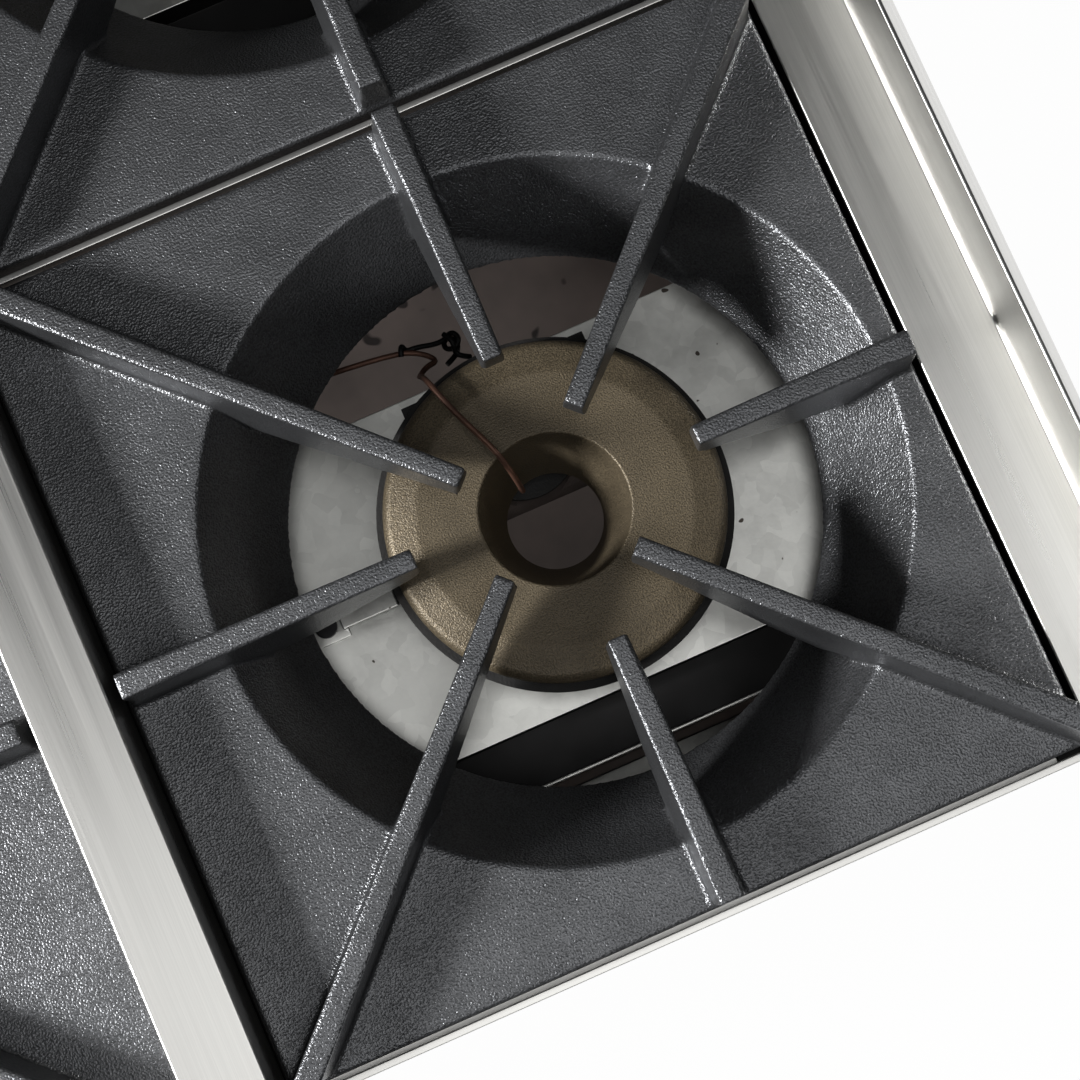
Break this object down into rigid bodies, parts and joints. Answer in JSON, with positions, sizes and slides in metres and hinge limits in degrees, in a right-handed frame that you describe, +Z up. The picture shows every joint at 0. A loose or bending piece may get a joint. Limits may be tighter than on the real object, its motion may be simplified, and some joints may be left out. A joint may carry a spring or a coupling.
{
  "type": "countertop gas hotplate",
  "caption": "Countertop gas hotplate with lift-off cast iron bowl grates over open ring burners, turning knobs, a drip tray and screw feet.",
  "frame": {"origin": "on the counter, under the middle of the outer box", "axes": "+X to the right of a cook who faces the knobs, +Y to the back, +Z up"},
  "size_m": [0.61, 0.6349, 0.3515],
  "materials": {
    "grate_iron": "sandy dark grey casting, satin",
    "burner_iron": "bronze-brown baked casting, satin",
    "stainless": "brushed along its length",
    "aluminised": "spangled, satin",
    "tray_steel": "smooth, greasy dark sheen",
    "black_pipe": "satin black",
    "brass": "turned",
    "valve_stem": "turned",
    "knob": "satin black moulding",
    "feed_tube": "drawn tube, satin",
    "pilot_tube": "thin copper tube, heat darkened",
    "dark_wire": "dark annealed wire",
    "dark_screw": "black screw",
    "bright_screw": "polished",
    "leg_steel": "satin chrome",
    "foot": "satin black"
  },
  "bodies": {
    "chassis": {"bottom_pan": "aluminised", "side_panel_left": "stainless", "side_panel_right": "stainless", "rear_panel": "aluminised", "control_panel": "stainless", "front_ledge": "stainless", "centre_support": "aluminised", "column_divider": "stainless", "row_bars": "stainless", "side_guard_left": "stainless", "side_guard_right": "stainless", "burner_shelf_front": "aluminised", "burner_shelf_rear": "aluminised", "manifold_pipe": "black_pipe", "inlet_pipe": "black_pipe", "burner_straps": "aluminised", "wire_ties": "dark_wire", "shelf_screws": "dark_screw", "panel_screws": "bright_screw", "burner_body_front_left": "burner_iron", "burner_body_front_right": "burner_iron", "burner_body_rear_left": "burner_iron", "burner_body_rear_right": "burner_iron", "gas_valve_front_left": "brass", "gas_valve_front_right": "brass", "gas_valve_rear_left": "brass", "gas_valve_rear_right": "brass", "feed_tube_front_left": "feed_tube", "feed_tube_front_right": "feed_tube", "feed_tube_rear_left": "feed_tube", "feed_tube_rear_right": "feed_tube", "pilot_tube_front_left": "pilot_tube", "pilot_tube_front_right": "pilot_tube", "pilot_tube_rear_left": "pilot_tube", "pilot_tube_rear_right": "pilot_tube", "leg_front_left": "leg_steel", "leg_front_right": "leg_steel", "leg_rear_left": "leg_steel", "leg_rear_right": "leg_steel"},
    "drip_tray": {"drip_tray": "tray_steel"},
    "grate_front_left": {"grate_front_left": "grate_iron"},
    "head_front_left": {"burner_head_front_left": "burner_iron"},
    "knob_front_left": {"knob_front_left": "knob", "valve_stem_front_left": "valve_stem"},
    "foot_front_left": {"foot_front_left": "foot"},
    "grate_front_right": {"grate_front_right": "grate_iron"},
    "head_front_right": {"burner_head_front_right": "burner_iron"},
    "knob_front_right": {"knob_front_right": "knob", "valve_stem_front_right": "valve_stem"},
    "foot_front_right": {"foot_front_right": "foot"},
    "grate_rear_left": {"grate_rear_left": "grate_iron"},
    "head_rear_left": {"burner_head_rear_left": "burner_iron"},
    "knob_rear_left": {"knob_rear_left": "knob", "valve_stem_rear_left": "valve_stem"},
    "foot_rear_left": {"foot_rear_left": "foot"},
    "grate_rear_right": {"grate_rear_right": "grate_iron"},
    "head_rear_right": {"burner_head_rear_right": "burner_iron"},
    "knob_rear_right": {"knob_rear_right": "knob", "valve_stem_rear_right": "valve_stem"},
    "foot_rear_right": {"foot_rear_right": "foot"}
  },
  "joints": [
    {"name": "tray_slide", "type": "slide", "parent": "chassis", "child": "drip_tray", "axis": [0, -1, 0], "range_m": [0, 0.4]},
    {"name": "grate_front_left_lift", "type": "slide", "parent": "chassis", "child": "grate_front_left", "axis": [0, 0, 1], "range_m": [0, 0.15]},
    {"name": "head_front_left_lift", "type": "slide", "parent": "chassis", "child": "head_front_left", "axis": [0, 0, 1], "range_m": [0, 0.004]},
    {"name": "knob_front_left_turn", "type": "hinge", "parent": "chassis", "child": "knob_front_left", "pos_m": [-0.10485, -0.2715, 0.222], "axis": [0, -1, 0], "range_deg": [0, 90]},
    {"name": "foot_front_left_raise", "type": "slide", "parent": "chassis", "child": "foot_front_left", "axis": [0, 0, -1], "range_m": [0, 0.025]},
    {"name": "grate_front_right_lift", "type": "slide", "parent": "chassis", "child": "grate_front_right", "axis": [0, 0, 1], "range_m": [0, 0.15]},
    {"name": "head_front_right_lift", "type": "slide", "parent": "chassis", "child": "head_front_right", "axis": [0, 0, 1], "range_m": [0, 0.004]},
    {"name": "knob_front_right_turn", "type": "hinge", "parent": "chassis", "child": "knob_front_right", "pos_m": [0.10485, -0.2715, 0.222], "axis": [0, -1, 0], "range_deg": [0, 90]},
    {"name": "foot_front_right_raise", "type": "slide", "parent": "chassis", "child": "foot_front_right", "axis": [0, 0, -1], "range_m": [0, 0.025]},
    {"name": "grate_rear_left_lift", "type": "slide", "parent": "chassis", "child": "grate_rear_left", "axis": [0, 0, 1], "range_m": [0, 0.15]},
    {"name": "head_rear_left_lift", "type": "slide", "parent": "chassis", "child": "head_rear_left", "axis": [0, 0, 1], "range_m": [0, 0.004]},
    {"name": "knob_rear_left_turn", "type": "hinge", "parent": "chassis", "child": "knob_rear_left", "pos_m": [-0.19485, -0.2715, 0.222], "axis": [0, -1, 0], "range_deg": [0, 90]},
    {"name": "foot_rear_left_raise", "type": "slide", "parent": "chassis", "child": "foot_rear_left", "axis": [0, 0, -1], "range_m": [0, 0.025]},
    {"name": "grate_rear_right_lift", "type": "slide", "parent": "chassis", "child": "grate_rear_right", "axis": [0, 0, 1], "range_m": [0, 0.15]},
    {"name": "head_rear_right_lift", "type": "slide", "parent": "chassis", "child": "head_rear_right", "axis": [0, 0, 1], "range_m": [0, 0.004]},
    {"name": "knob_rear_right_turn", "type": "hinge", "parent": "chassis", "child": "knob_rear_right", "pos_m": [0.19485, -0.2715, 0.222], "axis": [0, -1, 0], "range_deg": [0, 90]},
    {"name": "foot_rear_right_raise", "type": "slide", "parent": "chassis", "child": "foot_rear_right", "axis": [0, 0, -1], "range_m": [0, 0.025]}
  ]
}
